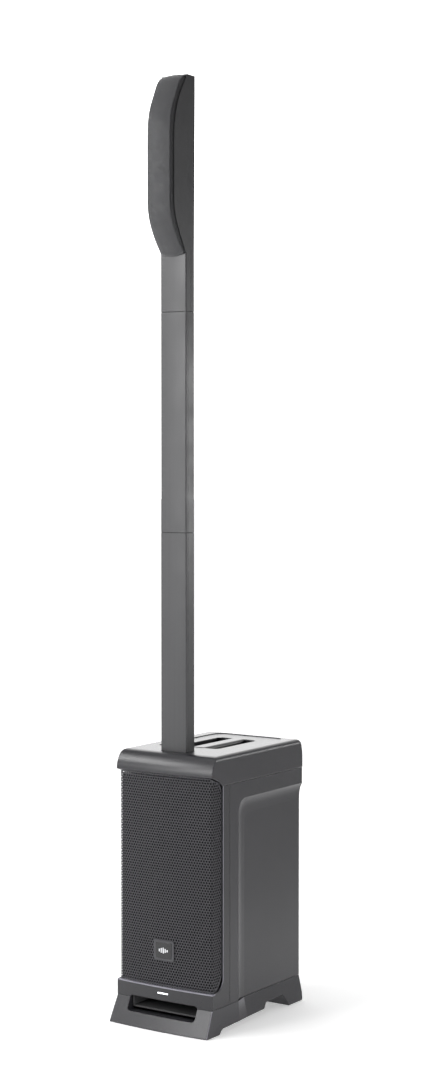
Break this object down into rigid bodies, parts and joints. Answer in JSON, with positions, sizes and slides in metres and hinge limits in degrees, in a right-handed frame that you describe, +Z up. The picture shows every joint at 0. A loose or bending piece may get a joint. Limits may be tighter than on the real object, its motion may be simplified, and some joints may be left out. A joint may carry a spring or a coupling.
{
  "type": "column pa system",
  "caption": "Bass cabinet on a flared foot with plug-in spacers rising from its top to a curved line array; rear controls, carrying handle and battery door.",
  "frame": {"origin": "on the floor, at the middle of the object's plan box", "axes": "+X to the right seen from the front, -Y the front with the grille, +Z up along the column"},
  "size_m": [0.2988, 0.4583, 2.3745],
  "materials": {
    "cabinet_plastic": "fine moulded grain, satin",
    "column_plastic": "satin dark grey coat",
    "grille_steel": "black powder coat, perforated",
    "foam": "open-cell black foam",
    "badge": "satin black, blank",
    "light": "frosted white light pipe",
    "foot_rubber": "matte",
    "inner_plastic": "plain",
    "board_wood": "plywood",
    "pressed_steel": "satin black",
    "spider_cloth": "impregnated cloth",
    "cone_paper": "pressed fibre",
    "coil": "wound wire",
    "circuit_board": "solder mask",
    "heatsink_metal": "black anodised",
    "panel_plastic": "fine texture",
    "screw_steel": "black zinc",
    "jack_metal": "nickel",
    "contact_brass": "gold flash",
    "knob_rubber": "soft touch"
  },
  "bodies": {
    "cabinet": {"amplifier_board": "circuit_board", "badge_plate": "badge", "baffle_board": "board_wood", "battery_pack": "inner_plastic", "bottom_board": "board_wood", "column_socket": "inner_plastic", "combo_jacks": "panel_plastic", "control_panel": "panel_plastic", "foot_base": "cabinet_plastic", "front_frame": "cabinet_plastic", "grille_foam": "foam", "handle_bar": "cabinet_plastic", "heatsink": "heatsink_metal", "left_side_panel": "cabinet_plastic", "line_jacks": "jack_metal", "mains_inlet": "panel_plastic", "mixer_board": "inner_plastic", "port_duct": "inner_plastic", "power_supply": "pressed_steel", "rear_panel": "cabinet_plastic", "rear_screws": "screw_steel", "right_side_panel": "cabinet_plastic", "rubber_feet": "foot_rubber", "socket_contacts": "contact_brass", "status_light": "light", "top_cover": "cabinet_plastic", "usb_port": "screw_steel", "woofer_basket": "pressed_steel", "woofer_grille": "grille_steel", "woofer_magnet": "pressed_steel", "woofer_screws": "screw_steel", "woofer_spider": "spider_cloth", "woofer_surround": "foot_rubber"},
    "woofer_cone": {"woofer_cone": "cone_paper", "dust_cap": "cone_paper", "voice_coil": "coil"},
    "lower_spacer": {"lower_spacer_tube": "column_plastic", "lower_spacer_plug": "inner_plastic", "lower_spacer_contacts": "contact_brass"},
    "upper_spacer": {"upper_spacer_tube": "column_plastic", "upper_spacer_plug": "inner_plastic", "upper_spacer_contacts": "contact_brass"},
    "line_array": {"array_shell": "column_plastic", "array_baffle": "inner_plastic", "array_grille": "grille_steel", "array_foam": "foam", "array_driver_frames": "pressed_steel", "array_driver_cones": "cone_paper", "array_plug": "inner_plastic", "array_contacts": "contact_brass"},
    "power_rocker": {"power_rocker": "panel_plastic"},
    "battery_door": {"battery_door": "panel_plastic"},
    "channel_1_knob": {"channel_1_knob": "knob_rubber"},
    "channel_2_knob": {"channel_2_knob": "knob_rubber"},
    "channel_3_knob": {"channel_3_knob": "knob_rubber"},
    "channel_4_knob": {"channel_4_knob": "knob_rubber"},
    "effects_knob": {"effects_knob": "knob_rubber"},
    "main_knob": {"main_knob": "knob_rubber"},
    "phantom_button": {"phantom_button": "panel_plastic"},
    "pairing_button": {"pairing_button": "panel_plastic"}
  },
  "joints": [
    {"name": "woofer_travel", "type": "slide", "parent": "cabinet", "child": "woofer_cone", "axis": [0, 1, 0], "range_m": [-0.004, 0.004], "stiffness_N_per_m": 2500},
    {"name": "lower_spacer_lift", "type": "slide", "parent": "cabinet", "child": "lower_spacer", "axis": [0, 0, 1], "range_m": [0, 0.06]},
    {"name": "upper_spacer_lift", "type": "slide", "parent": "lower_spacer", "child": "upper_spacer", "axis": [0, 0, 1], "range_m": [0, 0.06]},
    {"name": "line_array_lift", "type": "slide", "parent": "upper_spacer", "child": "line_array", "axis": [0, 0, 1], "range_m": [0, 0.06]},
    {"name": "channel_1_knob_turn", "type": "hinge", "parent": "cabinet", "child": "channel_1_knob", "pos_m": [-0.075, 0.208, 0.548], "axis": [0, 1, 0], "range_deg": [-150, 150]},
    {"name": "channel_2_knob_turn", "type": "hinge", "parent": "cabinet", "child": "channel_2_knob", "pos_m": [-0.045, 0.208, 0.548], "axis": [0, 1, 0], "range_deg": [-150, 150]},
    {"name": "channel_3_knob_turn", "type": "hinge", "parent": "cabinet", "child": "channel_3_knob", "pos_m": [-0.015, 0.208, 0.548], "axis": [0, 1, 0], "range_deg": [-150, 150]},
    {"name": "channel_4_knob_turn", "type": "hinge", "parent": "cabinet", "child": "channel_4_knob", "pos_m": [0.015, 0.208, 0.548], "axis": [0, 1, 0], "range_deg": [-150, 150]},
    {"name": "effects_knob_turn", "type": "hinge", "parent": "cabinet", "child": "effects_knob", "pos_m": [0.047, 0.208, 0.548], "axis": [0, 1, 0], "range_deg": [-150, 150]},
    {"name": "main_knob_turn", "type": "hinge", "parent": "cabinet", "child": "main_knob", "pos_m": [0.08, 0.208, 0.548], "axis": [0, 1, 0], "range_deg": [-150, 150]},
    {"name": "phantom_button_press", "type": "slide", "parent": "cabinet", "child": "phantom_button", "axis": [0, -1, 0], "range_m": [0, 0.0025], "stiffness_N_per_m": 250},
    {"name": "pairing_button_press", "type": "slide", "parent": "cabinet", "child": "pairing_button", "axis": [0, -1, 0], "range_m": [0, 0.0025], "stiffness_N_per_m": 250},
    {"name": "power_rocker_tilt", "type": "hinge", "parent": "cabinet", "child": "power_rocker", "pos_m": [0.052, 0.205, 0.335], "axis": [-1, 0, 0], "range_deg": [0, 16]},
    {"name": "battery_door_swing", "type": "hinge", "parent": "cabinet", "child": "battery_door", "pos_m": [0, 0.2252, 0.091], "axis": [-1, 0, 0], "range_deg": [0, 100]}
  ]
}
